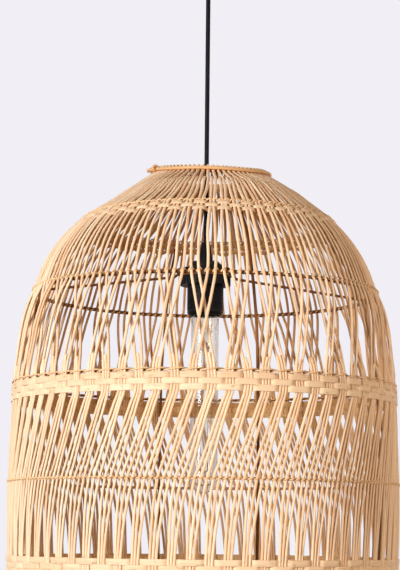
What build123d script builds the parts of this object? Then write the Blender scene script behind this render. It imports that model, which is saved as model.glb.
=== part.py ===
from build123d import *
import os
from math import cos, hypot, radians, sin, tan

os.makedirs("parts", exist_ok=True)

# Driving dimensions, in millimetres. The ceiling is the plane z = 0 and the cord hangs along the z axis.
hoop_z = -260.0  # plane of the hoop that the shade's stakes are folded over
stake_r = 1.4  # round rattan core
gap = 0.1  # between pieces that lie against each other
folded_stakes = 72
group_step = 360 / folded_stakes
swap_count = folded_stakes // 2  # neighbouring pairs that change places
weave_turn = -3.3  # degrees from the x axis to the first stake

# Stake centre line as (radius, height from the hoop plane), from the neck down to the rim
neck = (92.0, -21.5)
band = (139.0, -54.0)
dome = (166.8, -87.0)
row = (185.6, -129.5)
cross_top = (193.6, -151.0)
cross_low = (202.4, -205.5)
main_top = (204.3, -227.0)
main_low = (205.2, -251.0)
low_row = (207.6, -334.5)
hem = (206.4, -408.0)
rim = (203.6, -449.0)
insert_top = (203.3, -214.5)

# Half spread of a stake's two legs about their group, in degrees, and the turns of a group on its way down
fold_spread = 0.5
open_spread = 1.25
band_spread = 0.75
group_spread = 0.85
even_spread = 5 / 3
upper_cross_spread, lower_cross_spread = 1.2, 0.95
cross_share = 0.22
lower_lean = -7.5
hem_lean = -10.0
cross_lift = 1.85

# Top of the shade: the fold over the hoop, and each leg's knee under it
hoop_r, hoop_centre = 1.7, 58.3
ring_r, ring_centre = 2.0, 65.0
fold_reach = hoop_r + gap + stake_r
fold_corners = (22.5, 67.5, 112.5, 157.5)
outer_knee = ((hoop_centre + fold_reach, -3.0), (hoop_centre + fold_reach + 1.1, -5.0))
inner_knee = ((hoop_centre - fold_reach, -5.5), (hoop_centre - fold_reach + 1.5, -8.3))

# Weavers, hoops and ribs
twine_r = 0.8
strip_thick, strip_high = 1.2, 5.8
band_strip_high = 4.4
band_twine_up, band_strips_up = 10.1, 4.8  # above the band point, along the wall
main_twine_share, main_strips_share, hem_strips_share = 0.11, 0.23, 0.1  # of the band's height, from its top
strip_hold = 1.6  # degrees to each side of a group in which a strip runs level
rim_hoop_r, rim_hoop_z = 2.6, -444.0
rib_r, rib_count, rib_turn = 1.5, 4, 18.3
rib_inset = cross_lift + stake_r + rib_r + 2 * gap
rib_band_inset = rib_inset + 1.6  # inside the upper band's strips
support_r, support_clear = 1.9, 0.4
rib_row_inset = stake_r + support_clear + 2 * support_r + rib_r  # inside the support hoop
crossbar_turn = 12.5  # between two legs
crossbar_r = 1.45
arm_start, arm_bend = 22.5, 31.0  # radii where an arm leaves the plate and where it steps down
arm_drop = 3.0
eye_r, eye_wire = 3.2, 1.1

# Lampholder heights from the hoop plane, and radii
neck_top, neck_low = -72.5, -93.6
cap_low = -102.4
flange_low = -107.0
plate_low = -110.1
lower_ring_top, lower_ring_low = -110.2, -120.1
skirt_top, skirt_low = -100.4, -153.0
neck_top_r, neck_low_r = 4.7, 8.2
cap_r, skirt_r, skirt_bore = 18.2, 19.8, 17.4
flange_r, lower_ring_r = 31.0, 27.2
ring_bore = skirt_r + 0.35
core_low = -117.0
shell_r, shell_thick = 14.5, 0.6
shell_low = -146.0

# Tube lamp with an E27 screw cap
lamp_r, lamp_low = 15.0, -345.0
lamp_cap_r, lamp_cap_top, lamp_cap_low = 13.2, -124.0, -147.0
tip_r, tip_top = 4.5, -120.4
glass_thick = 0.9

# Ceiling rose
cup_r, cup_deep, cup_thick = 50.0, 28.0, 1.2
bar_long, bar_wide, bar_thick = 92.0, 18.0, 1.5
slot_spacing, slot_long, slot_wide = 60.0, 14.0, 5.0
tab_deep, tab_hole_z = 14.0, -9.0
screw_r, screw_head_r, screw_head_thick = 2.0, 4.0, 2.2
gland_r, gland_thread_r, gland_low = 8.0, 5.0, -49.0
gland_thread_top = -22.0
nut_flats, nut_thick = 14.0, 3.5

# Cord and its two bending points
cord_r, cord_bore = 2.5, 2.8
swing_z = -45.0
tilt_z = hoop_z - 76.5
swing_flare, tilt_flare = 24.0, 10.0
core_r = 1.0
tail_top = -20.0


def at(point, angle, out=0.0):
    """A point of the shade's wall, moved outwards from the axis and turned about it from the first stake."""
    radius, turn = point[0] + out, radians(weave_turn + angle)
    return (radius * cos(turn), radius * sin(turn), hoop_z + point[1])


def inset(before, point, after, depth):
    """A wall point moved square to the wall, from the wall's direction between its neighbours."""
    run, rise = after[0] - before[0], after[1] - before[1]
    length = hypot(run, rise)
    return (point[0] + depth * rise / length, point[1] - depth * run / length)


def soft_radii(points, share=0.45):
    """The largest fillet at each corner that leaves its neighbours room."""
    radii = []
    for a, b, c in zip(points, points[1:], points[2:]):
        into, out_of = Vector(*b) - Vector(*a), Vector(*c) - Vector(*b)
        half_turn = radians(into.get_angle(out_of) / 2)
        radii.append(share * min(into.length, out_of.length) / tan(half_turn))
    return radii


def tube(points, radius, radii=None):
    """A round rod along straight runs joined by tangent arcs."""
    with BuildPart() as rod:
        with BuildLine() as path:
            FilletPolyline(*points, radius=radii or soft_radii(points))
        with BuildSketch(Plane(path.line @ 0, z_dir=path.line % 0)):
            Circle(radius)
        sweep()
    return rod.part


def stake(points):
    """A six-sided length of rattan with a crease at each point, as where a weaver grips it."""
    with BuildPart() as rod:
        with BuildLine() as path:
            Polyline(*points)
        with BuildSketch(Plane(path.line @ 0, z_dir=path.line % 0)):
            RegularPolygon(stake_r, 6)
        sweep(transition=Transition.RIGHT)
    return rod.part


def ring(centre, height, radius):
    """A closed hoop of round rod about the z axis."""
    with BuildPart() as hoop:
        with BuildSketch(Plane.XZ):
            with Locations((centre, hoop_z + height)):
                Circle(radius)
        revolve(axis=Axis.Z)
    return hoop.part


def turned(outline):
    """A solid of revolution from (radius, height) corners, with heights from the hoop plane."""
    with BuildPart() as body:
        with BuildSketch(Plane.XZ):
            with BuildLine():
                Polyline(*[(r, hoop_z + z) for r, z in outline], close=True)
            make_face()
        revolve(axis=Axis.Z)
    return body.part


def copies(piece, count, start=0.0):
    return [place * piece for place in PolarLocations(0, count, start_angle=start).locations]


def save(name, piece):
    piece.label = name
    export_step(piece, f"parts/{name}.step", write_pcurves=False)


# Stakes: each is folded over the hoop, its outer leg on one side of its place and its inner leg on the other
def leg(side, turn, lift, knee):
    """A leg's points from its knee down to the rim; turn is the step it takes in the crossing."""
    return [
        at(knee[0], side * fold_spread),
        at(knee[1], side * fold_spread),
        at(neck, side * open_spread),
        at(band, side * band_spread),
        at(dome, side * open_spread),
        at(row, side * open_spread),
        at(cross_top, cross_share * turn + side * upper_cross_spread, lift),
        at(cross_low, (1 - cross_share) * turn + side * lower_cross_spread, lift),
        at(main_top, turn + side * group_spread),
        at(main_low, turn + side * group_spread),
        at(low_row, turn + lower_lean + side * even_spread),
        at(hem, turn + hem_lean + side * group_spread),
        at(rim, turn + hem_lean + side * group_spread),
    ]


def folded_stake(turn, lift):
    outer = leg(1, turn, lift, outer_knee)
    inner = leg(-1, turn, lift, inner_knee)
    corner = fold_reach / cos(radians(fold_corners[0]))
    fold = []
    for angle in fold_corners:
        point = (hoop_centre + corner * cos(radians(angle)), corner * sin(radians(angle)))
        fold.append(at(point, fold_spread * cos(radians(angle))))
    return stake(outer[::-1] + fold + inner)


front_stake = folded_stake(-group_step, cross_lift)
back_stake = folded_stake(group_step, -cross_lift)
for folded in (front_stake, back_stake):
    print("folded stake valid", folded.is_valid, "volume", round(folded.volume))


# Inserted stakes: one in the middle of each group, its cut end leaning with the legs beside it
def inserted_stake(turn, lift):
    share = (main_top[1] - insert_top[1]) / (main_top[1] - cross_low[1])
    return stake(
        [
            at(insert_top, -share * cross_share * turn, share * lift),
            at(main_top, 0),
            at(main_low, 0),
            at(low_row, lower_lean),
            at(hem, hem_lean),
            at(rim, hem_lean),
        ]
    )


front_insert = inserted_stake(-group_step, cross_lift)
back_insert = inserted_stake(group_step, -cross_lift)
inserts = copies(front_insert, swap_count) + copies(back_insert, swap_count, group_step)
save("stakes_front", Compound(copies(front_stake, swap_count, group_step)))
save("stakes_back", Compound(copies(back_stake, swap_count)))
save("inserted_stakes", Compound(inserts))


# Twined rows: one strand outside the stakes and, where no hoop lies there, one inside
def twined_row(name, before, point, after, sides=(-1, 1)):
    reach = stake_r + twine_r + gap
    save(name, Compound([ring(*inset(before, point, after, side * reach), twine_r) for side in sides]))


def between(a, b, share):
    return (a[0] + share * (b[0] - a[0]), a[1] + share * (b[1] - a[1]))


band_length = hypot(band[0] - neck[0], band[1] - neck[1])
twined_row("band_twine", neck, between(band, neck, band_twine_up / band_length), band)
twined_row("dome_twine", dome, row, cross_top, sides=(-1,))
twined_row("main_twine", cross_low, between(main_top, main_low, main_twine_share), main_low)
twined_row("low_twine", main_low, low_row, hem)


# Flat strips woven over one group of stakes and under the next
def wave(radius, height, phase, swing):
    """Closed outline that runs outside every other group and inside those between."""
    points = []
    for group in range(folded_stakes):
        side = 1 if (group + phase) % 2 else -1
        for step, share in ((-strip_hold, 1), (0, 1), (strip_hold, 1), (group_step / 2, 0)):
            points.append(at((radius + side * share * swing, height), group * group_step + step))
    return Spline(*[(x, y) for x, y, _ in points], periodic=True)


def woven_strip(top, low, phase):
    slope = hypot(top[0] - low[0], top[1] - low[1]) / (top[1] - low[1])
    swing = (stake_r + gap + strip_thick / 2) * slope
    half = strip_thick / 2 * slope
    with BuildPart() as strip:
        for side, mode in ((half, Mode.ADD), (-half, Mode.SUBTRACT)):
            for radius, height in (low, top):
                with BuildSketch(Plane.XY.offset(hoop_z + height)):
                    with BuildLine():
                        wave(radius + side, height, phase, swing)
                    make_face()
            loft(ruled=True, mode=mode)
    return strip.part


def woven_band(name, start, end, high):
    """Three strips one below the other from start towards end, like courses of bricks."""
    length = hypot(end[0] - start[0], end[1] - start[1])
    strips = []
    for course in range(3):
        top = between(start, end, course * (high + gap) / length)
        low = between(start, end, (course * (high + gap) + high) / length)
        strips.append(woven_strip(top, low, course))
    save(name, Compound(strips))


woven_band("band_strips", between(band, neck, band_strips_up / band_length), dome, band_strip_high)
woven_band("main_strips", between(main_top, main_low, main_strips_share), main_low, strip_high)
woven_band("hem_strips", between(hem, rim, hem_strips_share), rim, strip_high)

# Hoops of thicker cane at the top and the rim
save("inner_hoop", ring(hoop_centre, 0, hoop_r))
save("top_ring", ring(ring_centre, 0, ring_r))
rim_wall = between(hem, rim, (rim_hoop_z - hem[1]) / (rim[1] - hem[1]))[0]
rim_reach = stake_r + rim_hoop_r + 1.5 * gap
save("rim_hoop_outer", ring(rim_wall + rim_reach, rim_hoop_z, rim_hoop_r))
save("rim_hoop_inner", ring(rim_wall - rim_reach, rim_hoop_z, rim_hoop_r))

# Ribs inside the wall, from the upper band down to the rim hoop
rib_points = [
    inset(neck, band, dome, rib_band_inset),
    inset(band, dome, row, rib_inset),
    inset(dome, row, cross_top, rib_row_inset),
    inset(row, between(cross_top, cross_low, 0.5), main_top, rib_inset - 1),
    inset(cross_low, main_top, main_low, rib_inset),
    inset(main_low, low_row, hem, rib_inset),
    (rim_wall - rib_inset, rim_hoop_z + rim_hoop_r + gap),
]
rib = tube([at(point, 0) for point in rib_points], rib_r)
save("ribs", Compound(copies(rib, rib_count, rib_turn)))

# Crossbar: a plate held on the lampholder, with an arm to each side hooked on the support hoop
support = inset(dome, row, cross_top, stake_r + support_clear + support_r)
save("support_hoop", ring(*support, support_r))
plate_mid = (flange_low + plate_low) / 2 - gap / 2
step_low = (arm_bend + arm_drop, plate_mid - arm_drop)
arm_end = between(support, step_low, eye_r / (support[0] - step_low[0]))
with BuildPart() as crossbar:
    with BuildSketch(Plane.XY.offset(hoop_z + plate_low)):
        Circle(lower_ring_r - 1)
        Circle(ring_bore, mode=Mode.SUBTRACT)
    extrude(amount=flange_low - plate_low - gap)
    for angle in (crossbar_turn, crossbar_turn + 180):
        arm = [(arm_start, plate_mid), (arm_bend, plate_mid), step_low, arm_end]
        add(tube([at(point, angle) for point in arm], crossbar_r))
        turn = radians(weave_turn + angle)
        tangent = (-sin(turn), cos(turn), 0)
        with Locations(Plane(at(support, angle), z_dir=tangent)):
            Torus(eye_r, eye_wire)
save("crossbar", crossbar.part)

# Lampholder: cord grip, cap, threaded skirt and the two rings that clamp the crossbar's plate
tilt_low = tilt_z - hoop_z
mouth = cord_bore + (neck_top - tilt_low) * tan(radians(tilt_flare))
grip_outline = [
    (mouth, neck_top),
    (neck_top_r, neck_top),
    (neck_low_r, neck_low),
    (neck_low_r, cap_low + 4),
    (cord_bore, cap_low + 4),
    (cord_bore, tilt_low),
]
save("cord_grip", turned(grip_outline))
cap_outline = [
    (neck_low_r + gap, neck_low),
    (cap_r - 4, neck_low),
    (cap_r, neck_low - 4),
    (cap_r, skirt_top + gap),
    (cap_r - 2.5, skirt_top + gap),
    (cap_r - 2.5, neck_low - 4.5),
    (neck_low_r + gap, neck_low - 3),
]
save("holder_cap", turned(cap_outline))
thread_pitch, thread_deep = 1.5, 0.5
thread = []
turns = int((plate_low - skirt_low - 4) / thread_pitch)
for step in range(turns):
    z = plate_low - step * thread_pitch
    root = skirt_r - thread_deep
    thread += [(skirt_r, z), (skirt_r, z - 0.5), (root, z - 0.8), (root, z - 1.2)]
skirt_outline = [
    (skirt_bore, skirt_top),
    (skirt_r, skirt_top),
    *thread,
    (skirt_r - 0.2, skirt_low + 3),
    (skirt_r - 2, skirt_low),
    (lamp_r + 1.2, skirt_low),
    (lamp_r + 1.2, skirt_low + 1.5),
    (skirt_bore, skirt_low + 2.5),
]
save("holder_skirt", turned(skirt_outline))


def knurled_ring(name, top, low, radius, ribs):
    """A shade ring with finger ribs around its edge."""
    with BuildPart() as nut:
        with BuildSketch(Plane.XY.offset(hoop_z + low)):
            Circle(radius - 0.6)
            with PolarLocations(radius - 0.6, ribs):
                Circle(0.9)
            Circle(ring_bore, mode=Mode.SUBTRACT)
        extrude(amount=top - low)
    save(name, nut.part)


knurled_ring("upper_shade_ring", cap_low, flange_low, flange_r, 48)
knurled_ring("lower_shade_ring", lower_ring_top, lower_ring_low, lower_ring_r, 36)

# Holder inside: insulating core, brass screw shell, spring contact and terminal screws
with BuildPart() as holder_core:
    with BuildSketch(Plane.XY.offset(hoop_z + core_low)):
        Circle(skirt_bore - gap)
    extrude(amount=skirt_top - core_low)
    with BuildSketch(Plane.XY.offset(hoop_z + core_low)):
        Circle(8)
    extrude(amount=4, mode=Mode.SUBTRACT)
    with BuildSketch(Plane.XY.offset(hoop_z + skirt_top)):
        Circle(cord_r + gap)
    extrude(amount=-6, mode=Mode.SUBTRACT)
    with Locations((10, 0, hoop_z + skirt_top), (-10, 0, hoop_z + skirt_top)):
        Hole(screw_r - 0.3, depth=5)
save("holder_core", holder_core.part)
shell_outline = [
    (shell_r, core_low),
    (shell_r, shell_low),
    (shell_r - shell_thick, shell_low),
    (shell_r - shell_thick, core_low),
]
save("screw_shell", turned(shell_outline))
with BuildPart() as centre_contact:
    with BuildSketch(Plane.XY.offset(hoop_z + core_low + 3.2)):
        SlotOverall(14, 5)
    extrude(amount=0.8)
    with BuildSketch(Plane.XY.offset(hoop_z + tip_top + gap)):
        Circle(2.2)
    extrude(amount=core_low + 3.2 - tip_top - gap)
save("centre_contact", centre_contact.part)
with BuildPart() as terminal_screw:
    with BuildSketch(Plane.XY.offset(hoop_z + skirt_top - 4.5)):
        Circle(screw_r - 0.35)
    extrude(amount=4.5)
    with BuildSketch(Plane.XY.offset(hoop_z + skirt_top + gap / 2)):
        Circle(3)
        Rectangle(7, 0.8, mode=Mode.SUBTRACT)
    extrude(amount=1.8)
    with BuildSketch(Plane.XY.offset(hoop_z + skirt_top - 0.5)):
        Circle(screw_r - 0.35)
    extrude(amount=1)
core_screws = [Pos(10, 0, 0) * terminal_screw.part, Pos(-10, 0, 0) * terminal_screw.part]
save("core_screws", Compound(core_screws))

# Lamp: contact tip, insulator, screw cap, glass tube, stem and filament
tip_low = tip_top - 2
tip_outline = [(0, tip_top), (tip_r - 1, tip_top), (tip_r, tip_top - 1), (tip_r, tip_low), (0, tip_low)]
save("lamp_tip", turned(tip_outline))
insulator_outline = [
    (0, tip_low),
    (tip_r + 1.5, tip_low),
    (lamp_cap_r - 2, lamp_cap_top),
    (lamp_cap_r - 2, lamp_cap_top - 2),
    (0, lamp_cap_top - 2),
]
save("lamp_insulator", turned(insulator_outline))
lamp_pitch = 3.63
crests = []
for step in range(5):
    z = lamp_cap_top - 2.4 - step * lamp_pitch
    root = lamp_cap_r - 1.1
    crests += [(root, z), (lamp_cap_r, z - 1.2), (lamp_cap_r, z - 1.9), (root, z - 3.1)]
cap_shell = [
    (lamp_cap_r - 1.9, lamp_cap_top + gap),
    (lamp_cap_r - 1.6, lamp_cap_top + gap),
    *crests,
    (lamp_cap_r - 0.8, lamp_cap_low),
    (lamp_cap_r - 1.9, lamp_cap_low),
]
save("lamp_cap", turned(cap_shell))
glass_neck = lamp_cap_r - 2.1
with BuildPart() as lamp_glass:
    for inner, mode in ((0, Mode.ADD), (glass_thick, Mode.SUBTRACT)):
        with BuildSketch(Plane.XZ):
            with BuildLine():
                top, side, low = hoop_z + lamp_cap_top - 4, lamp_r - inner, hoop_z + lamp_low + inner
                knee, belly = hoop_z + lamp_cap_low - 1, hoop_z + lamp_cap_low - 9
                first = Line((0, top), (glass_neck - inner, top))
                Line(first @ 1, (glass_neck - inner, knee))
                Line((glass_neck - inner, knee), (side, belly))
                Line((side, belly), (side, hoop_z + lamp_low + lamp_r))
                RadiusArc((side, hoop_z + lamp_low + lamp_r), (0, low), side)
                Line((0, low), (0, top))
            make_face()
        revolve(axis=Axis.Z, mode=mode)
save("lamp_glass", lamp_glass.part)
stem_top, stem_low, stem_r = lamp_cap_top - 4, -182.0, 3.0
stem_flare = glass_neck - glass_thick - gap
stem_outline = [
    (0, stem_top),
    (stem_flare, stem_top),
    (stem_r, stem_top - 9),
    (stem_r, stem_low),
    (0, stem_low),
]
save("lamp_stem", turned(stem_outline))
filament_r, filament_wire, filament_low = 6.0, 0.4, -322.0
hairpin = [(filament_r * cos(radians(a)), filament_r * sin(radians(a))) for a in (45, 135, 225, 315)]
filament_points = []
for number, (x, y) in enumerate(hairpin):
    ends = [(x, y, hoop_z + stem_low - 4), (x, y, hoop_z + filament_low)]
    filament_points += ends if number % 2 == 0 else ends[::-1]
save("filament", tube(filament_points, filament_wire, 3.0))

# Cord: the free stretch swings on a rounded end in each bell mouth, and a fixed tail goes on inside
with BuildPart() as supply_cord:
    with BuildSketch(Plane.XY.offset(tilt_z)):
        Circle(cord_r)
    extrude(amount=swing_z - tilt_z)
    with Locations((0, 0, swing_z), (0, 0, tilt_z)):
        Sphere(cord_r)
save("supply_cord", supply_cord.part)
tail_start = cord_r + 0.3
tails = []
for low, high in ((swing_z + tail_start, tail_top), (hoop_z + skirt_top - 5.5, tilt_z - tail_start)):
    with BuildPart() as tail:
        with BuildSketch(Plane.XY.offset(low)):
            Circle(cord_r)
        extrude(amount=high - low)
    tails.append(tail.part)
save("rose_cord_tail", tails[0])
save("holder_cord_tail", tails[1])

# Ceiling rose: bar screwed to the ceiling, cup, side screws, gland with its nut and set screw
tab_x = bar_long / 2 - bar_thick
with BuildPart() as ceiling_bar:
    with BuildSketch(Plane.XY.offset(-bar_thick)):
        Rectangle(bar_long, bar_wide)
        with GridLocations(slot_spacing, 0, 2, 1):
            SlotOverall(slot_long, slot_wide, mode=Mode.SUBTRACT)
    extrude(amount=bar_thick)
    with BuildSketch(Plane.XY.offset(-bar_thick)):
        with GridLocations(2 * tab_x + bar_thick, 0, 2, 1):
            Rectangle(bar_thick, bar_wide)
    extrude(amount=-tab_deep)
    with BuildSketch(Plane.YZ.offset(-bar_long)):
        with Locations((0, tab_hole_z)):
            Circle(screw_r + 0.05)
    extrude(amount=2 * bar_long, mode=Mode.SUBTRACT)
save("ceiling_bar", ceiling_bar.part)
with BuildPart() as rose_cup:
    with BuildSketch(Plane.XY):
        Circle(cup_r)
    extrude(amount=-cup_deep)
    fillet(rose_cup.edges().filter_by(GeomType.CIRCLE).sort_by(Axis.Z)[0], 6)
    offset(amount=-cup_thick, openings=rose_cup.faces().sort_by(Axis.Z)[-1])
    with BuildSketch(Plane.XY.offset(-cup_deep)):
        Circle(gland_thread_r + gap)
    extrude(amount=cup_deep, mode=Mode.SUBTRACT)
    with BuildSketch(Plane.YZ.offset(-2 * cup_r)):
        with Locations((0, tab_hole_z)):
            Circle(screw_r + 0.2)
    extrude(amount=4 * cup_r, mode=Mode.SUBTRACT)
save("rose_cup", rose_cup.part)
with BuildPart() as side_screw:
    with BuildSketch(Plane.YZ.offset(bar_long / 2 - 5)):
        with Locations((0, tab_hole_z)):
            Circle(screw_r)
    extrude(amount=cup_r + gap - bar_long / 2 + 5)
    with BuildSketch(Plane.YZ.offset(cup_r + gap)):
        with Locations((0, tab_hole_z)):
            Circle(screw_head_r)
    extrude(amount=screw_head_thick)
    fillet(side_screw.edges().filter_by(GeomType.CIRCLE).sort_by(Axis.X)[-1], 1.2)
    with BuildSketch(Plane.YZ.offset(cup_r + screw_head_thick - 1)):
        with Locations((0, tab_hole_z)):
            Rectangle(1, 3 * screw_head_r)
    extrude(amount=3, mode=Mode.SUBTRACT)
save("side_screws", Compound(copies(side_screw.part, 2)))
gland_mouth = cord_bore + (swing_z - gland_low) * tan(radians(swing_flare))
gland_outline = [
    (cord_bore, swing_z - hoop_z),
    (cord_bore, gland_thread_top - hoop_z),
    (gland_thread_r, gland_thread_top - hoop_z),
    (gland_thread_r, -cup_deep - hoop_z),
    (gland_r, -cup_deep - hoop_z),
    (gland_r, gland_low + 3 - hoop_z),
    (gland_r - 1.5, gland_low - hoop_z),
    (gland_mouth, gland_low - hoop_z),
]
set_screw_z, set_screw_r = -36.0, 1.5
with BuildPart() as cord_gland:
    add(turned(gland_outline))
    with BuildSketch(Plane.YZ):
        with Locations((0, set_screw_z)):
            Circle(set_screw_r + 0.05)
    extrude(amount=2 * gland_r, mode=Mode.SUBTRACT)
save("cord_gland", cord_gland.part)
with BuildPart() as set_screw:
    with BuildSketch(Plane.YZ.offset(cord_r + 0.05)):
        with Locations((0, set_screw_z)):
            Circle(set_screw_r)
    extrude(amount=gland_r - cord_r + 0.6)
    with BuildSketch(Plane.YZ.offset(gland_r)):
        with Locations((0, set_screw_z)):
            Rectangle(0.6, 4 * set_screw_r)
    extrude(amount=2, mode=Mode.SUBTRACT)
save("set_screw", set_screw.part)
with BuildPart() as gland_nut:
    with BuildSketch(Plane.XY.offset(cup_thick - cup_deep)):
        RegularPolygon(nut_flats / 2, 6, major_radius=False)
        Circle(gland_thread_r + gap / 2, mode=Mode.SUBTRACT)
    extrude(amount=nut_thick)
save("gland_nut", gland_nut.part)

# Terminal block under the bar, its screws, and the two cores up from the cord
block_long, block_wide, block_high, pole = 26.0, 15.0, 12.0, 6.0
block_low = -bar_thick - block_high
clamp_r, clamp_z = 1.5, -bar_thick - 7
core_apart, core_rise = 1.2, 1.8
with BuildPart() as terminal_block:
    with BuildSketch(Plane.XY.offset(block_low)):
        RectangleRounded(block_long, block_wide, 2)
    extrude(amount=block_high)
    with BuildSketch(Plane.XY.offset(block_low)):
        with GridLocations(2 * pole, 0, 2, 1):
            Circle(core_r + 0.6)
    extrude(amount=8, mode=Mode.SUBTRACT)
    with BuildSketch(Plane.XZ.offset(block_wide / 2)):
        with Locations((-pole, clamp_z), (pole, clamp_z)):
            Circle(clamp_r + gap)
    extrude(amount=core_r - block_wide / 2, mode=Mode.SUBTRACT)
save("terminal_block", terminal_block.part)
with BuildPart() as clamp_screw:
    with BuildSketch(Plane.XZ.offset(core_r + gap)):
        with Locations((0, clamp_z)):
            Circle(clamp_r)
    extrude(amount=4.5)
save("clamp_screws", Compound([Pos(-pole, 0, 0) * clamp_screw.part, Pos(pole, 0, 0) * clamp_screw.part]))
for name, side in (("live_core", -1), ("neutral_core", 1)):
    core_points = [
        (side * core_apart, 0, tail_top),
        (side * core_apart, 0, tail_top + core_rise),
        (side * pole, 0, block_low - 1.6),
        (side * pole, 0, clamp_z + 2.6),
    ]
    save(name, tube(core_points, core_r))

print("cord's free length", swing_z - tilt_z)
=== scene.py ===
import math
import random

import bmesh
import bpy
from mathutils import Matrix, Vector


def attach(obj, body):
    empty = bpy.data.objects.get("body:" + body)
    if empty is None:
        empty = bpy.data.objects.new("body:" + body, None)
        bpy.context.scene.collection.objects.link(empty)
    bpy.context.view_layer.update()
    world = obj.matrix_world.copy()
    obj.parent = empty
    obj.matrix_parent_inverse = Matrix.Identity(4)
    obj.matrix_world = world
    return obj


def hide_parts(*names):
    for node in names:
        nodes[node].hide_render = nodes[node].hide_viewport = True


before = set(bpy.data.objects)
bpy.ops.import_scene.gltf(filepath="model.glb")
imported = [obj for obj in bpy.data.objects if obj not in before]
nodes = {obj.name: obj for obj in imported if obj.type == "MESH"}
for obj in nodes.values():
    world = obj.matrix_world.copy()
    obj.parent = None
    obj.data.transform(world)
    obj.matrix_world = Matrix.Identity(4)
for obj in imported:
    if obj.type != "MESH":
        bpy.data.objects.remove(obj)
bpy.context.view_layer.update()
mm = 0.001
dice = random.Random(11)
scene = bpy.context.scene
scene.view_settings.view_transform = "Standard"
print("frame loaded:", len(nodes), "nodes")


def hexColour(code):
    channels = [int(code[i:i + 2], 16) / 255 for i in (1, 3, 5)]
    return [c / 12.92 if c <= 0.04045 else ((c + 0.055) / 1.055) ** 2.4 for c in channels] + [1.0]


# adds one shader node, with its settings, and its inputs as values or links
def addNode(tree, kind, inputs=None, **settings):
    node = tree.nodes.new("ShaderNode" + kind)
    for name, value in settings.items():
        setattr(node, name, value)
    for socket, value in (inputs or {}).items():
        if isinstance(value, bpy.types.NodeSocket):
            tree.links.new(value, node.inputs[socket])
        else:
            node.inputs[socket].default_value = value
    return node


# a material whose shader has these fixed values; returns its tree and shader for the rest
def newMaterial(name, **values):
    material = bpy.data.materials.new(name)
    material.use_nodes = True
    tree = material.node_tree
    shader = tree.nodes["Principled BSDF"]
    for socket, value in values.items():
        shader.inputs[socket.replace("_", " ")].default_value = value
    return material, tree, shader


mixA, mixB, mixOut = 6, 7, 2  # colour sockets of a Mix node
noiseLow, noiseHigh = 0.3, 0.7  # most of a noise lies between these


def mixed(tree, share, first, second, **settings):
    inputs = {0: share, mixA: first, mixB: second}
    return addNode(tree, "Mix", inputs, data_type="RGBA", **settings).outputs[mixOut]


def mapped(tree, value, fromLow, fromHigh, toLow, toHigh):
    return addNode(tree, "MapRange", {0: value, 1: fromLow, 2: fromHigh, 3: toLow, 4: toHigh}).outputs[0]


# camera at the photograph's place, with the small roll at which the shade hangs there
view = {
    "place": (-3.1, -1878.0, -646.0),  # mm
    "tiltUp": 8.09,
    "roll": -0.6,
    "focalPixels": 1738.0,
    "frameHigh": 570.0,
}
camera = bpy.data.objects.new("camera", bpy.data.cameras.new("camera"))
camera.data.sensor_fit = "VERTICAL"
camera.data.sensor_height = 36.0
camera.data.lens = view["focalPixels"] / view["frameHigh"] * camera.data.sensor_height
camera.data.clip_end = 50.0
camera.location = Vector(view["place"]) * mm
camera.rotation_euler = (math.radians(90 + view["tiltUp"]), math.radians(view["roll"]), 0.0)
scene.collection.objects.link(camera)
scene.camera = camera

# the shade's wall: radius and height from the hoop plane along the stakes' centre line, mm
hoopZ = -260.0
weaveTurn = -3.3  # degrees from the x axis to the first stake
wall = {
    "neck": (92.0, -19.5),
    "band": (139.0, -54.0),
    "dome": (166.8, -87.0),
    "row": (185.6, -129.5),
    "crossTop": (192.6, -151.0),
    "crossLow": (201.0, -205.5),
    "mainTop": (204.3, -227.0),
    "mainLow": (205.2, -251.0),
    "lowRow": (207.6, -334.5),
    "hem": (206.4, -408.0),
    "rim": (203.6, -449.0),
    "insertTop": (203.3, -214.5),
}
crown = {
    "lean": 4.8,  # mm to the right, where the shade was pushed when it was woven
    "leanFrom": -75.0,
    "leanOver": 55.0,
    "lift": 1.0,  # mm, with a cosine and a sine share for one, two and four waves round the opening
    "waves": {1: (-0.85, 1.0), 2: (2.6, 0.5), 4: (0.6, 0.0)},
}


# a share from 0 to 1 that starts and ends gently
def easeIn(share):
    return share * share * (3 - 2 * share)


def lean(height):
    return crown["lean"] * easeIn(min(1.0, max(0.0, (height - crown["leanFrom"]) / crown["leanOver"])))


# a wall point turned about the axis from the first stake, in metres
def at(point, angle, out=0.0):
    radius = point[0] + out
    turn = math.radians(weaveTurn + angle)
    return Vector((radius * math.cos(turn) + lean(point[1]), radius * math.sin(turn), hoopZ + point[1])) * mm


# the top opening isn't flat: its near edge is low, and its left and right edges are high
def atTop(point, angle, share=1.0):
    turn = math.radians(weaveTurn + angle)
    lift = crown["lift"]
    for count, (cosShare, sinShare) in crown["waves"].items():
        lift += cosShare * math.cos(count * turn) + sinShare * math.sin(count * turn)
    return at(point, angle) + Vector((0.0, 0.0, share * lift * mm))


def between(a, b, share):
    return (a[0] + share * (b[0] - a[0]), a[1] + share * (b[1] - a[1]))


# a wall point moved square to the wall and up along it, where the wall runs from above to below
def offWall(point, above, below, out, up):
    run, rise = above[0] - below[0], above[1] - below[1]
    length = math.hypot(run, rise)
    return (point[0] + (out * rise + up * run) / length, point[1] + (up * rise - out * run) / length)


def wallLength(a, b):
    return math.hypot(wall[b][0] - wall[a][0], wall[b][1] - wall[a][1])


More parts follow.
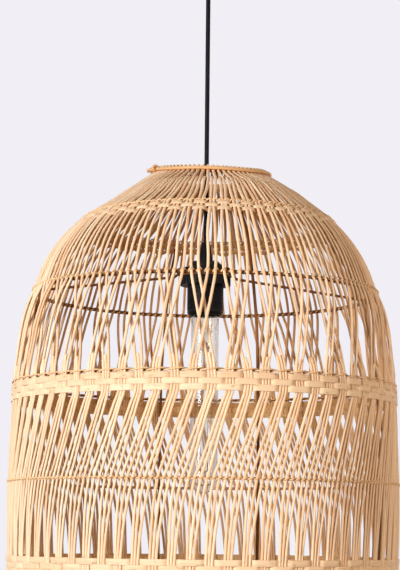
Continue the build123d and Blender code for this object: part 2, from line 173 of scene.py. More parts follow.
# rattan: split and skinned cane, pale straw with long fibres and a few dark flecks, satin where polished;
# sizes in mm along and across the strand, with the fibres drawn coarser than real so that they show
cane = {
    "ior": 1.5,
    "shine": 0.12,
    "fibreLong": 28.0,
    "fibreFrom": 0.35,
    "fibreTo": 0.75,
    "fibreDark": 0.22,
    "fibreDeep": 0.15,
    "fibreBump": 0.35,
    "smoother": 0.08,  # between fibres, and rougher on them
    "rougher": 0.12,
    "shadeLong": 95.0,
    "shadeWide": 12.0,
    "shadeHoney": 0.55,
    "toneHoney": 0.5,
    "fleckLong": 9.0,
    "fleckWide": 1.8,
    "fleckFrom": 0.62,
    "fleckTo": 0.78,
    "fleckDark": 0.5,
    "solidShadeWide": 40.0,  # on CAD pieces, whose pattern runs upright
    "solidFleckWide": 3.0,
    "apart": 71.0,  # sets the strands' patterns apart
    "paintedShadeTint": "#F8E0B4",  # painted shade: the sides that face the shade's middle are multiplied by this darker, warmer tint, standing in for the shadow inside the shade
}


def rattan(name, pale, honey, dark, fibreWide=0.55, roughness=0.48, onStrand=True):
    material, tree, shader = newMaterial(
        name, Roughness=roughness, IOR=cane["ior"], Specular_IOR_Level=cane["shine"]
    )
    pale, honey, dark, paintedShadeTint = map(hexColour, (pale, honey, dark, cane["paintedShadeTint"]))
    fibreWide, fibreLong = fibreWide * mm, cane["fibreLong"] * mm
    shadeLong, fleckLong = cane["shadeLong"] * mm, cane["fleckLong"] * mm
    if onStrand:
        place = addNode(tree, "UVMap", uv_map="strand").outputs["UV"]
        tone = addNode(tree, "Attribute", attribute_name="tone").outputs["Fac"]
        apart = addNode(tree, "Math", {0: tone, 1: cane["apart"]}, operation="MULTIPLY").outputs[0]
        split = addNode(tree, "SeparateXYZ", {0: place})
        place = addNode(tree, "CombineXYZ", {0: split.outputs[0], 1: split.outputs[1], 2: apart}).outputs[0]
        stretch = (1 / fibreLong, 1 / fibreWide, 1.0)
        slowStretch = (1 / shadeLong, 1 / (cane["shadeWide"] * mm), 1.0)
        fleckStretch = (1 / fleckLong, 1 / (cane["fleckWide"] * mm), 1.0)
    else:
        place = addNode(tree, "TexCoord").outputs["Object"]
        tone = 0.5
        shadeWide, fleckWide = cane["solidShadeWide"] * mm, cane["solidFleckWide"] * mm
        stretch = (1 / fibreWide, 1 / fibreWide, 1 / fibreLong)
        slowStretch = (1 / shadeWide, 1 / shadeWide, 1 / shadeLong)
        fleckStretch = (1 / fleckWide, 1 / fleckWide, 1 / fleckLong)
    fibrePlace = addNode(tree, "Mapping", {0: place, "Scale": stretch}).outputs[0]
    slowPlace = addNode(tree, "Mapping", {0: place, "Scale": slowStretch}).outputs[0]
    fleckPlace = addNode(tree, "Mapping", {0: place, "Scale": fleckStretch}).outputs[0]
    fibre = addNode(tree, "TexNoise", {0: fibrePlace, "Scale": 1.0, "Detail": 3.0}).outputs["Fac"]
    slow = addNode(tree, "TexNoise", {0: slowPlace, "Scale": 1.0, "Detail": 2.0}).outputs["Fac"]
    fleck = addNode(tree, "TexNoise", {0: fleckPlace, "Scale": 1.0, "Detail": 1.0}).outputs["Fac"]
    slowShare = mapped(tree, slow, noiseLow, noiseHigh, 0.0, cane["shadeHoney"])
    toneShare = addNode(
        tree, "Math", {0: tone, 1: cane["toneHoney"], 2: slowShare}, operation="MULTIPLY_ADD"
    ).outputs[0]
    base = mixed(tree, toneShare, pale, honey)
    fibreAmount = mapped(tree, fibre, cane["fibreFrom"], cane["fibreTo"], 0.0, cane["fibreDark"])
    grained = mixed(tree, fibreAmount, base, dark)
    fleckAmount = mapped(tree, fleck, cane["fleckFrom"], cane["fleckTo"], 0.0, cane["fleckDark"])
    flecked = mixed(tree, fleckAmount, grained, dark)
    # painted shade: how far a spot faces the shade's middle sets how much of the darker, warmer tint is
    # multiplied in
    inner = addNode(tree, "Attribute", attribute_name="inner").outputs["Fac"]
    paintedInsideShade = mixed(tree, inner, flecked, paintedShadeTint, blend_type="MULTIPLY")
    tree.links.new(paintedInsideShade, shader.inputs["Base Color"])
    smoothest, roughest = roughness - cane["smoother"], roughness + cane["rougher"]
    rough = mapped(tree, fibre, noiseLow, noiseHigh, smoothest, roughest)
    tree.links.new(rough, shader.inputs["Roughness"])
    bump = addNode(
        tree, "Bump", {"Height": fibre, "Strength": cane["fibreBump"], "Distance": cane["fibreDeep"] * mm}
    )
    tree.links.new(bump.outputs[0], shader.inputs["Normal"])
    return material


roundRattan = rattan("round rattan core", "#F5DBBB", "#E1B68C", "#8F5C2E")
flatPeel = rattan("flat rattan peel", "#EDD1AE", "#DBB68F", "#8E6236", fibreWide=0.7, roughness=0.5)
hoopCane = rattan("polished hoop cane", "#DDB283", "#C69566", "#8C5E36", roughness=0.4)
paleCane = rattan("thin pale cane", "#EFCFA6", "#DAB080", "#875A2E")
brownRod = rattan("thin brown cane", "#7C4B24", "#5C3517", "#3A1F0C")
brownCane = rattan(
    "brown stained cane", "#8A582E", "#66401F", "#40240F", fibreWide=0.8, roughness=0.5, onStrand=False
)


# a plain moulded, cast or drawn finish: a colour with a slow drift, fine grit in its gloss and a shallow bump
def finish(name, light, deep, grit=0.6, drift=14.0, depth=0.04, roughness=0.4, spread=0.1, **values):
    material, tree, shader = newMaterial(name, **values)
    place = addNode(tree, "TexCoord").outputs["Object"]
    fine = addNode(tree, "TexNoise", {0: place, "Scale": 1 / (grit * mm), "Detail": 3.0}).outputs["Fac"]
    slow = addNode(tree, "TexNoise", {0: place, "Scale": 1 / (drift * mm), "Detail": 2.0}).outputs["Fac"]
    tree.links.new(mixed(tree, slow, hexColour(light), hexColour(deep)), shader.inputs["Base Color"])
    rough = mapped(tree, slow, noiseLow, noiseHigh, roughness - spread, roughness + spread)
    tree.links.new(rough, shader.inputs["Roughness"])
    bump = addNode(tree, "Bump", {"Height": fine, "Strength": 0.3, "Distance": depth * mm})
    tree.links.new(bump.outputs[0], shader.inputs["Normal"])
    return material


# moulded phenolic resin: deep black with a soft shine and faint flow marks
phenolic = finish("moulded black phenolic", "#0A090A", "#060606", roughness=0.5, Specular_IOR_Level=0.16)
# extruded PVC sheath: black, satin, with faint drawing marks
blackSheath = finish(
    "black PVC sheath", "#0A0A0D", "#060608", grit=0.9, roughness=0.45, Specular_IOR_Level=0.1
)
# powder coating: fine orange peel under a satin black
powderCoat = finish("satin black powder coat", "#222223", "#191919", grit=1.1, depth=0.08, roughness=0.45)
# rolled brass: warm yellow with a fine drawn line
brass = finish("rolled brass", "#D9B46A", "#B98C45", roughness=0.28, Metallic=1.0)
# zinc plating on pressed steel: cool grey with a slight bloom
zincSteel = finish("zinc-plated steel", "#C9CACB", "#A9ABAE", roughness=0.32, Metallic=1.0)
# rolled aluminium cap: bright, faintly brushed
capMetal = finish("rolled aluminium", "#D6D6D3", "#B9B9B6", roughness=0.26, Metallic=1.0)
# glazed steatite: creamy white with a glossy skin
steatite = finish("glazed steatite", "#ECE9E0", "#DDD8CB", roughness=0.22, IOR=1.55)
# moulded nylon: off-white, semi-matt
nylon = finish("white nylon", "#E9E8E3", "#DAD8D1", roughness=0.5)
# core insulation: coloured PVC
brownCore = finish("brown PVC core", "#5A3219", "#4A2813", roughness=0.42)
blueCore = finish("blue PVC core", "#2D58A8", "#234A94", roughness=0.42)
# vitrite: black fused glass of a lamp cap
vitrite = finish("black vitrite", "#1D1D22", "#131317", roughness=0.16, IOR=1.6)
# carbonised thread of a squirrel-cage lamp: dull brown-black when cold
carbonThread = finish("carbonised filament", "#7A5026", "#54361A", roughness=0.55)

# clear soda-lime glass, blown: a smooth skin with hardly any tint
clearGlass, _, glassShader = newMaterial(
    "clear soda-lime glass", Roughness=0.02, IOR=1.46, Transmission_Weight=1.0
)
glassShader.inputs["Base Color"].default_value = hexColour("#F4F3EF")
print("materials made")


# one piece: object at the origin, riding on its body, in the place of its CAD nodes
def addPiece(name, data, body, material, slot, *stoodFor):
    piece = bpy.data.objects.new(name, data)
    data.materials.clear()
    data.materials.append(material)
    scene.collection.objects.link(piece)
    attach(piece, body)
    if stoodFor:
        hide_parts(*stoodFor)
    return piece


# a round strand along points, as a mesh with its length and girth in its UV map in metres, and one tone;
# swell gives the share of the radius at each point
def strand(points, radius, sides=8, steps=6, closed=False, straight=False, tone=0.5, swell=None):
    curve = bpy.data.curves.new("strand", "CURVE")
    curve.dimensions = "3D"
    curve.bevel_depth = radius * mm
    curve.bevel_resolution = (sides - 4) // 2
    curve.resolution_u = steps
    curve.use_fill_caps = not closed
    if straight:
        line = curve.splines.new("POLY")
        line.points.add(len(points) - 1)
        for point, place in zip(line.points, points):
            point.co = (*place, 1.0)
    else:
        line = curve.splines.new("BEZIER")
        line.bezier_points.add(len(points) - 1)
        for point, place, share in zip(line.bezier_points, points, swell or [1.0] * len(points)):
            point.co = place
            point.radius = share
            point.handle_left_type = point.handle_right_type = "AUTO"
    line.use_cyclic_u = closed
    line.use_smooth = True
    length = line.calc_length()
    holder = bpy.data.objects.new("strand", curve)
    mesh = bpy.data.meshes.new_from_object(holder)
    bpy.data.objects.remove(holder)
    bpy.data.curves.remove(curve)
    girth = 2 * math.pi * radius * mm
    grain = mesh.uv_layers[0] if mesh.uv_layers else mesh.uv_layers.new()
    grain.name = "strand"
    for corner in grain.uv:
        corner.vector = (corner.vector[0] * length, corner.vector[1] * girth)
    mesh.attributes.new("tone", "FLOAT", "POINT").data.foreach_set("value", [tone] * len(mesh.vertices))
    return mesh


# a closed ribbon: a grid laid round the shade by place(turn share, section share), its seams welded
def ribbon(place, around, across, length, girth, tone=0.5):
    bm = bmesh.new()
    grain = bm.loops.layers.uv.new("strand")
    bmesh.ops.create_grid(bm, x_segments=around, y_segments=across, size=0.5)
    for face in bm.faces:
        for corner in face.loops:
            x, y, _ = corner.vert.co
            corner[grain].uv = ((x + 0.5) * length, (y + 0.5) * girth)
    for vert in bm.verts:
        vert.co = place(vert.co.x + 0.5, vert.co.y + 0.5)
    bmesh.ops.remove_doubles(bm, verts=bm.verts, dist=0.001 * mm)
    bmesh.ops.recalc_face_normals(bm, faces=bm.faces)
    for face in bm.faces:
        face.smooth = True
    mesh = bpy.data.meshes.new("ribbon")
    bm.to_mesh(mesh)
    bm.free()
    mesh.attributes.new("tone", "FLOAT", "POINT").data.foreach_set("value", [tone] * len(mesh.vertices))
    return mesh


middleDrop = 200.0  # mm from the hoop plane to the shade's middle
shadeMiddle = Vector((0.0, 0.0, (hoopZ - middleDrop) * mm))


# several strands as one mesh, which knows how far each spot faces the shade's middle, for the painted shade
# on the inward sides
def bundle(name, meshes):
    bm = bmesh.new()
    for mesh in meshes:
        bm.from_mesh(mesh)
        bpy.data.meshes.remove(mesh)
    bm.normal_update()
    inner = bm.verts.layers.float.new("inner")
    for vert in bm.verts:
        vert[inner] = max(0.0, vert.normal.dot((shadeMiddle - vert.co).normalized()))
    whole = bpy.data.meshes.new(name)
    bm.to_mesh(whole)
    bm.free()
    return whole


# a turned piece from (radius, height) corners in mm, heights from the hoop plane
def spun(name, outline, steps=64):
    bm = bmesh.new()
    verts = [bm.verts.new((r * mm, 0.0, (hoopZ + z) * mm)) for r, z in outline]
    edges = [bm.edges.new(pair) for pair in zip(verts, verts[1:] + verts[:1])]
    bmesh.ops.spin(
        bm, geom=verts + edges, cent=(0, 0, 0), axis=(0, 0, 1), angle=2 * math.pi, steps=steps, use_merge=True
    )
    bmesh.ops.remove_doubles(bm, verts=bm.verts, dist=0.002 * mm)
    bmesh.ops.recalc_face_normals(bm, faces=bm.faces)
    for face in bm.faces:
        face.smooth = True
    mesh = bpy.data.meshes.new(name)
    bm.to_mesh(mesh)
    bm.free()
    return mesh


# supply cord: straight from the gland in the ceiling rose down to the cord grip, pulled tight by the shade
cordFacts = {
    "radius": 2.5,
    "heights": (-42.5, -43.0, -45.0, -75.0, -190.0, -306.0, -336.5, -338.5, -339.0),
    "fullness": (0.2, 0.75, 1.0, 1.0, 1.0, 1.0, 1.0, 0.75, 0.2),  # round ends, free to turn in their mouths
}
cordCurve = bpy.data.curves.new("supplyCord", "CURVE")
cordCurve.dimensions = "3D"
cordCurve.bevel_depth = cordFacts["radius"] * mm
cordCurve.bevel_resolution = 8
cordCurve.resolution_u = 8
cordCurve.use_fill_caps = True
cordLine = cordCurve.splines.new("NURBS")
cordLine.points.add(len(cordFacts["heights"]) - 1)
for point, height, share in zip(cordLine.points, cordFacts["heights"], cordFacts["fullness"]):
    point.co = (0.0, 0.0, height * mm, 1.0)
    point.radius = share
cordLine.order_u = 3
cordLine.use_endpoint_u = True
supplyCord = addPiece("supplyCord", cordCurve, "cord", blackSheath, "black_cord", "supply_cord")
print("cord made")

# stakes: round core folded over the hoop, two legs each; neighbouring pairs swap places above the main band
stakes = {
    "count": 72,
    "radius": 1.5,
    "foldSpread": 0.5,
    "openSpread": 1.25,
    "bandSpread": 0.75,
    "groupSpread": 0.85,
    "evenSpread": 5 / 3,
    "upperCross": 1.2,
    "lowerCross": 0.95,
    "crossShare": 0.22,
    "crossLift": 1.85,
    "lowerLean": -7.5,
    "hemLean": -10.0,
    "sway": 0.13,  # natural unevenness in degrees and in mm
    "rise": 0.22,
    "runShares": (0.12, 0.85),  # of the way from the main band to the low row
    "crownShare": 0.45,  # of the way from the knee to the neck, with its shares of the spread and the lift
    "crownSpread": 0.65,
    "crownLift": 0.6,
    "overSpread": 0.9,  # halfway from the neck to the upper band
    "overBulge": 0.5,
    "crownSwell": 1.16,  # the stakes are thickest where they fold over the hoop
    "swellShares": (1.0, 1.0, 1.0, 1.0, 0.8, 0.2),  # of that swelling, at a leg's first points
    "cutEnds": (-4.0, 3.0),  # mm, heights of the inserted stakes' ends
}
# how much of that unevenness shows at each height: the rows hold the stakes, and between them they are loose
play = {
    "neck": 1.6,
    "overBand": 1.2,
    "band": 0.4,
    "dome": 1.4,
    "row": 0.5,
    "crossTop": 1.3,
    "crossLow": 1.0,
    "main": 0.25,
    "run": 0.8,
    "lowRow": 0.5,
    "hem": 0.25,
}
hoop = {
    "radius": 1.7,
    "centre": 58.3,
    "reach": 3.25,
    "sag": 2.2,
    "foldAngles": (20, 90, 160),
    "outerKnee": ((3.5, -1.4), (6.4, -3.9)),  # from the hoop's centre
    "innerKnee": ((-3.1, -4.8), (-0.6, -7.4)),
}
groups = stakes["count"]
groupStep = 360 / groups
outerKnee = [(hoop["centre"] + out, height) for out, height in hoop["outerKnee"]]
innerKnee = [(hoop["centre"] + out, height) for out, height in hoop["innerKnee"]]


# a wall point out of its true place by chance, in the given amount
def loose(point, angle, amount=1.0, out=0.0):
    angle += dice.gauss(0.0, stakes["sway"] * amount)
    return at(point, angle, out + dice.gauss(0.0, stakes["rise"] * amount))


# two points on the straight run from the main band to the low row, where a group fans out
def lowerRun(place, side):
    spread = stakes["evenSpread"] - stakes["groupSpread"]
    return [
        loose(
            between(wall["mainLow"], wall["lowRow"], share),
            place + share * stakes["lowerLean"] + side * (stakes["groupSpread"] + share * spread),
            play["run"],
        )
        for share in stakes["runShares"]
    ]


# a leg's points from its knee to the rim
def leg(place, side, turn, lift, knee):
    s = stakes
    crownPoint = between(knee[1], wall["neck"], s["crownShare"])
    overBand = between(wall["neck"], wall["band"], 0.5)
    crossed, parted = place + s["crossShare"] * turn, place + (1 - s["crossShare"]) * turn
    return [
        atTop(knee[0], place + side * s["foldSpread"]),
        atTop(knee[1], place + side * s["foldSpread"]),
        atTop(crownPoint, place + side * s["crownSpread"] * s["openSpread"], s["crownLift"]),
        loose(wall["neck"], place + side * s["openSpread"], play["neck"]),
        loose(overBand, place + side * s["overSpread"] * s["openSpread"], play["overBand"], s["overBulge"]),
        loose(wall["band"], place + side * s["bandSpread"], play["band"]),
        loose(wall["dome"], place + side * s["openSpread"], play["dome"]),
        loose(wall["row"], place + side * s["openSpread"], play["row"]),
        loose(wall["crossTop"], crossed + side * s["upperCross"], play["crossTop"], lift),
        loose(wall["crossLow"], parted + side * s["lowerCross"], play["crossLow"], lift),
        loose(wall["mainTop"], place + turn + side * s["groupSpread"], play["main"]),
        loose(wall["mainLow"], place + turn + side * s["groupSpread"], play["main"]),
        *lowerRun(place + turn, side),
        loose(wall["lowRow"], place + turn + s["lowerLean"] + side * s["evenSpread"], play["lowRow"]),
        loose(wall["hem"], place + turn + s["hemLean"] + side * s["groupSpread"], play["hem"]),
        at(wall["rim"], place + turn + s["hemLean"] + side * s["groupSpread"]),
    ]


def foldedStake(place, turn, lift):
    outer = leg(place, 1, turn, lift, outerKnee)
    inner = leg(place, -1, turn, lift, innerKnee)
    fold = []
    for angle in hoop["foldAngles"]:
        c, s = math.cos(math.radians(angle)), math.sin(math.radians(angle))
        spot = (hoop["centre"] + hoop["reach"] * c, hoop["reach"] * s)
        fold.append(atTop(spot, place + stakes["foldSpread"] * c))
    thick = [1.0 + (stakes["crownSwell"] - 1.0) * share for share in stakes["swellShares"]]
    swell = thick + [1.0] * (len(outer) - len(thick))
    path = outer[::-1] + fold + inner
    swell = swell[::-1] + thick[:1] * len(fold) + swell
    return strand(path, stakes["radius"], tone=dice.random(), swell=swell)


def insertedStake(place, turn, lift):
    share = (wall["mainTop"][1] - wall["insertTop"][1]) / (wall["mainTop"][1] - wall["crossLow"][1])
    top = at(wall["insertTop"], place - share * stakes["crossShare"] * turn, share * lift)
    path = [
        top + Vector((0, 0, dice.uniform(*stakes["cutEnds"]) * mm)),
        at(wall["mainTop"], place),
        at(wall["mainLow"], place),
        *lowerRun(place, 0),
        loose(wall["lowRow"], place + stakes["lowerLean"], play["lowRow"]),
        loose(wall["hem"], place + stakes["hemLean"], play["hem"]),
        at(wall["rim"], place + stakes["hemLean"]),
    ]
    return strand(path, stakes["radius"], steps=9, tone=dice.random())


frontStakes, backStakes, insertedStakes = [], [], []
front, back = (-groupStep, stakes["crossLift"]), (groupStep, -stakes["crossLift"])
for group in range(groups):
    place = group * groupStep
    if group % 2:
        frontStakes.append(foldedStake(place, *front))
        insertedStakes.append(insertedStake(place, *back))
    else:
        backStakes.append(foldedStake(place, *back))
        insertedStakes.append(insertedStake(place, *front))
for name, strands, node in (
    ("frontStakes", frontStakes, "stakes_front"),
    ("backStakes", backStakes, "stakes_back"),
    ("insertedStakes", insertedStakes, "inserted_stakes"),
):
    addPiece(name, bundle(name, strands), "pendant", roundRattan, "rattan_core", node)
print("stakes made")

# twined rows: two thin canes that twist half a turn at each stake, one outside it and one inside;
# the main band's row also holds a brown rod inside the stakes;
# on the dome one cane lashes each leg to the support hoop
twine = {
    "radius": 0.9,
    "lashRadius": 1.05,
    "outside": 2.2,
    "tightOutside": 1.75,
    "inside": 2.4,
    "climb": 0.95,
    "points": 8,
    "sides": 6,
}
rod = {"radius": 1.9, "inset": 3.7, "mainRadius": 0.9, "mainInset": 2.4}
rows = {
    "bandUp": 5.4,  # mm along the wall from the band point
    "bandStripsUp": 2.2,
    "mainShare": 0.11,  # of the main band's height from its top
    "mainStripsShare": 0.23,
    "hemStripsShare": 0.1,
}


# linger is how much longer a strand stays outside than inside
def flatWave(phase, firmness=1.6, linger=0.0):
    return math.tanh(firmness * (math.cos(phase) + linger)) / math.tanh(firmness)


def twistPath(point, above, below, count, shift, halfTurns, side, inside, outside):
    path = []
    steps = count * twine["points"]
    middle, reach = (outside - inside) / 2, (outside + inside) / 2
    for step in range(steps):
        turn = 360 * step / steps
        phase = math.pi * halfTurns * count * turn / 360 + side
        out, up = middle + reach * flatWave(phase), twine["climb"] * math.sin(phase)
        path.append(at(offWall(point, above, below, out, up), turn + shift))
    return path


def twinedRow(
    name, point, above, below, count, shift, node,
    lashed=False, inside=twine["inside"], outside=twine["outside"],
):
    strands = []
    radius = twine["lashRadius" if lashed else "radius"]
    for side in (0.0,) if lashed else (0.0, math.pi):
        path = twistPath(point, above, below, count, shift, 2 if lashed else 1, side, inside, outside)
        strands.append(
            strand(path, radius, sides=twine["sides"], closed=True, straight=True, tone=dice.random())
        )
    addPiece(name, bundle(name, strands), "pendant", paleCane, "rattan_twine", node)


bandPoint = between(wall["band"], wall["neck"], rows["bandUp"] / wallLength("band", "neck"))
mainPoint = between(wall["mainTop"], wall["mainLow"], rows["mainShare"])
twinedRow("bandTwine", bandPoint, wall["neck"], wall["band"], 2 * groups, stakes["openSpread"], "band_twine")
twinedRow(
    "domeTwine", wall["row"], wall["dome"], wall["crossTop"], 2 * groups, stakes["openSpread"], "dome_twine",
    lashed=True, inside=rod["inset"] + rod["radius"] + twine["radius"],
)
twinedRow(
    "mainTwine", mainPoint, wall["crossLow"], wall["mainLow"], groups, 0.0, "main_twine",
    inside=rod["mainInset"] + rod["mainRadius"] + twine["radius"],
)
twinedRow(
    "lowTwine", wall["lowRow"], wall["mainLow"], wall["hem"], 3 * groups, stakes["lowerLean"], "low_twine",
    outside=twine["tightOutside"],
)
mainRodSpot = offWall(mainPoint, wall["crossLow"], wall["mainLow"], -rod["mainInset"], 0.0)
mainRodPath = [at(mainRodSpot, groupStep * group) for group in range(groups)]
mainRod = strand(mainRodPath, rod["mainRadius"], sides=8, steps=3, closed=True)
addPiece("mainRod", mainRod, "pendant", brownRod, "brown_cane", "main_twine")
print("twined rows made")

# woven bands: three flat strips each, over one group of stakes and under the next, laid like bricks
strips = {
    "high": 5.8,
    "bandHigh": 4.4,
    "swell": 0.7,
    "thick": 1.2,
    "reach": 2.2,
    "gap": 0.1,
    "courses": 3,
    "softFace": 0.6,  # 1 is round, and less is squarer
    "softEdge": 0.4,
    "firmness": 2.8,
    "linger": 0.6,
    "bandFirmness": 1.8,
    "bandLinger": 0.12,
    "perGroup": 12,
    "across": 12,
}


def wovenBand(name, start, end, high, shift, firmness, linger, node):
    length = math.hypot(end[0] - start[0], end[1] - start[1])
    meshes = []
    for course in range(strips["courses"]):
        middle = between(start, end, (course + 0.5) * (high + strips["gap"]) / length)

        def place(turnShare, sectionShare):
            phase = math.pi * groups * turnShare + math.pi * course
            section = 2 * math.pi * sectionShare
            c, s = math.cos(section), math.sin(section)
            # a flat bar with softened edges, level over its group and steep between groups
            face = math.copysign(abs(s) ** strips["softFace"], s)
            edge = math.copysign(abs(c) ** strips["softEdge"], c)
            out = strips["reach"] * flatWave(phase, firmness, linger) + strips["thick"] / 2 * face
            up = (high + strips["swell"]) / 2 * edge
            return at(offWall(middle, start, end, out, up), 360 * turnShare + shift)

        around, girth = 2 * math.pi * middle[0] * mm, 2 * (high + strips["thick"]) * mm
        meshes.append(
            ribbon(place, groups * strips["perGroup"], strips["across"], around, girth, dice.random())
        )
    addPiece(name, bundle(name, meshes), "pendant", flatPeel, "rattan_strip", node)


bandStart = between(wall["band"], wall["neck"], rows["bandStripsUp"] / wallLength("band", "neck"))
mainStart = between(wall["mainTop"], wall["mainLow"], rows["mainStripsShare"])
hemStart = between(wall["hem"], wall["rim"], rows["hemStripsShare"])
bandWave, mainWave = (strips["bandFirmness"], strips["bandLinger"]), (strips["firmness"], strips["linger"])
wovenBand("bandStrips", bandStart, wall["dome"], strips["bandHigh"], 0.0, *bandWave, "band_strips")
wovenBand("mainStrips", mainStart, wall["mainLow"], strips["high"], 0.0, *mainWave, "main_strips")
wovenBand("hemStrips", hemStart, wall["rim"], strips["high"], stakes["hemLean"], *mainWave, "hem_strips")
print("woven bands made")

# hoops: the inner hoop and both rim hoops are bent round and scarfed;
# the top ring overlaps and is tied at the left
rings = {
    "points": 48,
    "rimZ": -444.0,
    "rimRadius": 2.6,
    "rimReach": 4.15,  # from the stakes to the middle of each rim hoop
    "topCentre": 65.0,
    "topRadius": 1.85,
    "endRadius": 2.2,
    "freeEnd": 190.3,  # degrees
    "overlap": 30.0,
    "drift": 4.2,  # mm outwards and upwards, where the free end lies on the ring
    "rise": 0.8,
    "topPoints": 64,
}
tieFacts = {
    "radius": 0.95,
    "at": 208.3,  # degrees
    "pitch": 5.0,
    "turns": 3,
    "wide": 3.5,
    "high": 2.7,
    "out": 1.3,  # mm from the ring's centre line
    "up": 0.4,
    "slack": 1.7,
    "slackWide": 0.2,
    "points": 48,
}
ringMesh = {"sides": 10, "steps": 4}
rimShare = (rings["rimZ"] - wall["hem"][1]) / (wall["rim"][1] - wall["hem"][1])
rimWall = between(wall["hem"], wall["rim"], rimShare)[0]
hoopTurns = [360 * step / rings["points"] for step in range(rings["points"])]
hoopPath = [atTop((hoop["centre"], -hoop["sag"]), turn) for turn in hoopTurns]
innerHoop = strand(hoopPath, hoop["radius"], closed=True, tone=0.5, **ringMesh)
addPiece("innerHoop", innerHoop, "pendant", hoopCane, "rattan_core", "inner_hoop")
for name, reach, node in (
    ("rimHoopOuter", rings["rimReach"], "rim_hoop_outer"),
    ("rimHoopInner", -rings["rimReach"], "rim_hoop_inner"),
):
    rimPath = [at((rimWall + reach, rings["rimZ"]), turn) for turn in hoopTurns]
    rimHoop = strand(rimPath, rings["rimRadius"], closed=True, tone=dice.random(), **ringMesh)
    addPiece(name, rimHoop, "pendant", hoopCane, "rattan_core", node)
topPath = []
for step in range(rings["topPoints"] + 1):
    turn = rings["freeEnd"] + (360 + rings["overlap"]) * step / rings["topPoints"]
    ease = easeIn(max(0.0, 1 - (turn - rings["freeEnd"]) / rings["overlap"]))
    topPath.append(atTop((rings["topCentre"] + rings["drift"] * ease, rings["rise"] * ease), turn))
topRing = strand(topPath, rings["topRadius"], tone=0.35, **ringMesh)
roundEnd = bmesh.new()
bmesh.ops.create_uvsphere(roundEnd, u_segments=10, v_segments=6, radius=rings["endRadius"] * mm)
bmesh.ops.translate(roundEnd, verts=roundEnd.verts, vec=topPath[0])
stubEnd = bpy.data.meshes.new("stubEnd")
roundEnd.to_mesh(stubEnd)
roundEnd.free()
# three turns round both ends, the middle one left slack above the ring
tiePath = []
for step in range(tieFacts["points"] + 1):
    share = step / tieFacts["points"]
    spin = 2 * math.pi * tieFacts["turns"] * share
    midway = math.exp(-((share - 0.5) / tieFacts["slackWide"]) ** 2)
    slack = tieFacts["slack"] * max(0.0, math.sin(spin)) * midway
    spot = (
        rings["topCentre"] + tieFacts["out"] + tieFacts["wide"] * math.cos(spin),
        tieFacts["up"] + slack + tieFacts["high"] * math.sin(spin),
    )
    tiePath.append(atTop(spot, tieFacts["at"] + tieFacts["pitch"] * (share - 0.5)))
tie = strand(tiePath, tieFacts["radius"], sides=6, steps=3, tone=0.6)
tiedRing = bundle("topRing", [topRing, stubEnd, tie])
addPiece("topRing", tiedRing, "pendant", hoopCane, "rattan_core", "top_ring")
print("hoops made")

# lamp: a blown tube with its neck in the cap, open at the top where the stem is sealed in
tube = {
    "radius": 15.0,
    "neck": 11.1,
    "wall": 0.9,
    "top": -128.0,  # heights from the hoop plane
    "knee": -148.0,
    "belly": -156.0,
    "low": -345.0,
    "shoulderSteps": 8,
    "endSteps": 12,
}
glassOutline = []
for inner in (0.0, tube["wall"]):
    side = [(tube["neck"] - inner, tube["top"]), (tube["neck"] - inner, tube["knee"])]
    for step in range(1, tube["shoulderSteps"] + 1):
        share = step / tube["shoulderSteps"]
        grow = tube["neck"] + (tube["radius"] - tube["neck"]) * easeIn(share)
        side.append((grow - inner, tube["knee"] + (tube["belly"] - tube["knee"]) * share))
    for step in range(tube["endSteps"] + 1):
        bend = math.radians(90 * step / tube["endSteps"])
        skin = tube["radius"] - inner
        side.append((skin * math.cos(bend), tube["low"] + tube["radius"] - skin * math.sin(bend)))
    glassOutline += side if inner == 0.0 else side[::-1]
addPiece("lampGlass", spun("lampGlass", glassOutline), "lamp", clearGlass, "glass", "lamp_glass")
print("lamp made")

# the rest keeps its CAD shape and gets its finish
finishes = {
    "cord_grip": phenolic, "holder_cap": phenolic, "holder_skirt": phenolic, "upper_shade_ring": phenolic,
    "lower_shade_ring": phenolic, "cord_gland": phenolic,
    "ribs": brownCane, "support_hoop": brownCane, "crossbar": brownCane,
    "terminal_block": nylon, "set_screw": nylon,
    "rose_cord_tail": blackSheath, "holder_cord_tail": blackSheath,
    "holder_core": steatite,
    "screw_shell": brass, "centre_contact": brass, "core_screws": brass,
    "ceiling_bar": zincSteel, "side_screws": zincSteel, "gland_nut": zincSteel, "clamp_screws": zincSteel,
    "rose_cup": powderCoat,
    "lamp_cap": capMetal, "lamp_tip": capMetal,
    "lamp_stem": clearGlass,
    "filament": carbonThread,
    "live_core": brownCore, "neutral_core": blueCore,
    "lamp_insulator": vitrite,
}
for name, material in finishes.items():
    nodes[name].data.materials.clear()
    nodes[name].data.materials.append(material)
print("finishes given to", len(finishes), "CAD nodes")

# stage: a pale floor far below, soft lamps from the front left, the right and behind, and a pale room
stage = {
    "floorZ": -5.0,
    "floorRadius": 14.0,
    "floorColour": "#8E8C92",
    "floorGlow": 0.82,
    "room": "#F1EFF5",
    "ambient": 0.22,
    "ambientColour": "#FFE4C4",
    "lampAim": (0.0, 0.0, -0.5),
}
floorMesh = bmesh.new()
bmesh.ops.create_circle(floorMesh, cap_ends=True, segments=96, radius=stage["floorRadius"])
bmesh.ops.translate(floorMesh, verts=floorMesh.verts, vec=(0, 0, stage["floorZ"]))
floorData = bpy.data.meshes.new("floor")
floorMesh.to_mesh(floorData)
floorMesh.free()
floor = bpy.data.objects.new("floor", floorData)
scene.collection.objects.link(floor)
floorPaint, floorTree, floorShader = newMaterial("pale matt floor", Roughness=0.9)
floorShader.inputs["Base Color"].default_value = hexColour(stage["floorColour"])
floorShader.inputs["Emission Color"].default_value = hexColour(stage["room"])
floorSeen = addNode(floorTree, "LightPath").outputs["Is Camera Ray"]
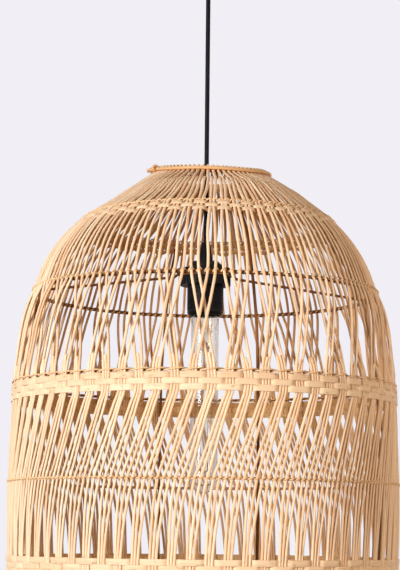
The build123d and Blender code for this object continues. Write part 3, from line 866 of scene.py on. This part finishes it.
floorGlow = addNode(floorTree, "Math", {0: floorSeen, 1: stage["floorGlow"]}, operation="MULTIPLY")
floorTree.links.new(floorGlow.outputs[0], floorShader.inputs["Emission Strength"])
floorData.materials.append(floorPaint)

world = bpy.data.worlds.new("room")
scene.world = world
world.use_nodes = True
roomTree = world.node_tree
roomTree.nodes.clear()
seen = addNode(roomTree, "LightPath")
seenBy = [seen.outputs[ray] for ray in ("Is Camera Ray", "Is Glossy Ray", "Is Transmission Ray")]
anyGloss = addNode(roomTree, "Math", {0: seenBy[1], 1: seenBy[2]}, operation="MAXIMUM").outputs[0]
shown = addNode(roomTree, "Math", {0: seenBy[0], 1: anyGloss}, operation="MAXIMUM").outputs[0]
ambientLight = addNode(
    roomTree, "Background", {"Color": hexColour(stage["ambientColour"]), "Strength": stage["ambient"]}
).outputs[0]
backdrop = addNode(roomTree, "Background", {"Color": hexColour(stage["room"]), "Strength": 1.0}).outputs[0]
roomMix = addNode(roomTree, "MixShader", {0: shown, 1: ambientLight, 2: backdrop}).outputs[0]
addNode(roomTree, "OutputWorld", {0: roomMix})

lampPlaces = {
    "keyLight": {"place": (-1.9, -2.2, -0.3), "size": 1.2, "power": 121.0, "colour": "#F8FBFF"},
    "fillLight": {"place": (2.0, -1.6, -0.5), "size": 1.6, "power": 38.0, "colour": "#FFF0E0"},
    "backLight": {"place": (0.9, 2.7, 0.2), "size": 1.8, "power": 42.0, "colour": "#FFF8F0"},
}
for name, facts in lampPlaces.items():
    light = bpy.data.lights.new(name, "AREA")
    light.size = facts["size"]
    light.energy = facts["power"]
    light.color = hexColour(facts["colour"])[:3]
    lightObject = bpy.data.objects.new(name, light)
    lightObject.location = facts["place"]
    aim = Vector(stage["lampAim"]) - Vector(facts["place"])
    lightObject.rotation_euler = aim.to_track_quat("-Z", "Y").to_euler()
    # the lamp behind leaves no glare in the glass
    lightObject.visible_transmission = lightObject.visible_glossy = name != "backLight"
    scene.collection.objects.link(lightObject)
print("stage lit")
